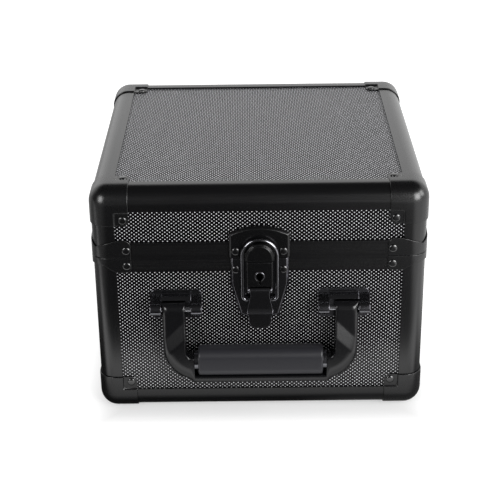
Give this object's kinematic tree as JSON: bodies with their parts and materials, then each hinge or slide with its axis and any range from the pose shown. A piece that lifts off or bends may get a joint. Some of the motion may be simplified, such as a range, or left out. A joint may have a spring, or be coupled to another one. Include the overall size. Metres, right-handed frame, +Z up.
{
  "type": "carrying case",
  "caption": "Square carrying case for graded card slabs: black-edged boards, pressed corners, hinged lid, loop latch with lock, drop handle and foam-lined rows.",
  "frame": {"origin": "on the ground under the middle of the closed case's outline, handle and hinges included", "axes": "+Z up, the latch and handle on the front face towards -Y, the hinges at +Y"},
  "size_m": [0.2434, 0.2666, 0.1803],
  "materials": {
    "textured_board": "satin",
    "black_anodised": "satin",
    "black_pressed_steel": "satin",
    "black_plated_steel": "gloss",
    "black_casting": "gloss",
    "black_wire": "gloss",
    "black_rivet": "gloss",
    "bright_steel": "polished",
    "lock_plug": "satin",
    "moulded_connector": "matte",
    "moulded_handle": "gloss",
    "soft_grip": "satin",
    "lining_foam": "matte"
  },
  "bodies": {
    "base": {"base_back_panel": "textured_board", "base_back_rail": "black_anodised", "base_back_rim": "black_anodised", "base_ball_corners": "black_pressed_steel", "base_bottom_panel": "textured_board", "base_corner_connectors": "moulded_connector", "base_corner_posts": "black_anodised", "base_foam_divider": "lining_foam", "base_foam_floor": "lining_foam", "base_foam_walls": "lining_foam", "base_front_panel": "textured_board", "base_front_rail": "black_anodised", "base_front_rim": "black_anodised", "base_left_panel": "textured_board", "base_left_rail": "black_anodised", "base_left_rim": "black_anodised", "base_right_panel": "textured_board", "base_right_rail": "black_anodised", "base_right_rim": "black_anodised", "base_rim_corners": "black_pressed_steel", "base_rivets": "black_rivet", "handle_bracket_left": "black_plated_steel", "handle_bracket_right": "black_plated_steel", "handle_pins": "bright_steel", "hinge_base_leaves": "black_plated_steel", "hinge_pins": "bright_steel", "latch_base_plate": "black_plated_steel", "lever_pin": "bright_steel", "lock_housing": "black_casting"},
    "lid": {"lid_back_panel": "textured_board", "lid_back_rail": "black_anodised", "lid_back_rim": "black_anodised", "lid_ball_corners": "black_pressed_steel", "lid_corner_connectors": "moulded_connector", "lid_corner_posts": "black_anodised", "lid_foam_pad": "lining_foam", "lid_foam_walls": "lining_foam", "lid_front_panel": "textured_board", "lid_front_rail": "black_anodised", "lid_front_rim": "black_anodised", "lid_left_panel": "textured_board", "lid_left_rail": "black_anodised", "lid_left_rim": "black_anodised", "lid_right_panel": "textured_board", "lid_right_rail": "black_anodised", "lid_right_rim": "black_anodised", "lid_rim_corners": "black_pressed_steel", "lid_rivets": "black_rivet", "lid_top_panel": "textured_board", "latch_lid_plate": "black_casting", "hinge_lid_leaves": "black_plated_steel"},
    "handle": {"handle_frame": "moulded_handle", "handle_core_rod": "black_plated_steel", "handle_grip": "soft_grip"},
    "latch_lever": {"latch_lever": "black_plated_steel"},
    "latch_loop": {"latch_loop": "black_wire"},
    "lock_plug": {"lock_cylinder": "lock_plug"}
  },
  "joints": [
    {"name": "lid_hinge", "type": "hinge", "parent": "base", "child": "lid", "pos_m": [0, 0.1303, 0.127], "axis": [-1, 0, 0], "range_deg": [0, 100]},
    {"name": "handle_hinge", "type": "hinge", "parent": "base", "child": "handle", "pos_m": [0, -0.122, 0.0895], "axis": [-1, 0, 0], "range_deg": [0, 90]},
    {"name": "lever_hinge", "type": "hinge", "parent": "base", "child": "latch_lever", "pos_m": [0, -0.122, 0.1042], "axis": [-1, 0, 0], "range_deg": [0, 100]},
    {"name": "loop_hinge", "type": "hinge", "parent": "latch_lever", "child": "latch_loop", "pos_m": [0, -0.1196, 0.0955], "axis": [-1, 0, 0], "range_deg": [-131, 0]},
    {"name": "lock_turn", "type": "hinge", "parent": "base", "child": "lock_plug", "pos_m": [0, -0.123, 0.1154], "axis": [0, -1, 0], "range_deg": [0, 90]}
  ],
  "couplings": [
    {"joint": "loop_hinge", "follows": "lever_hinge", "ratio": -1.3}
  ]
}
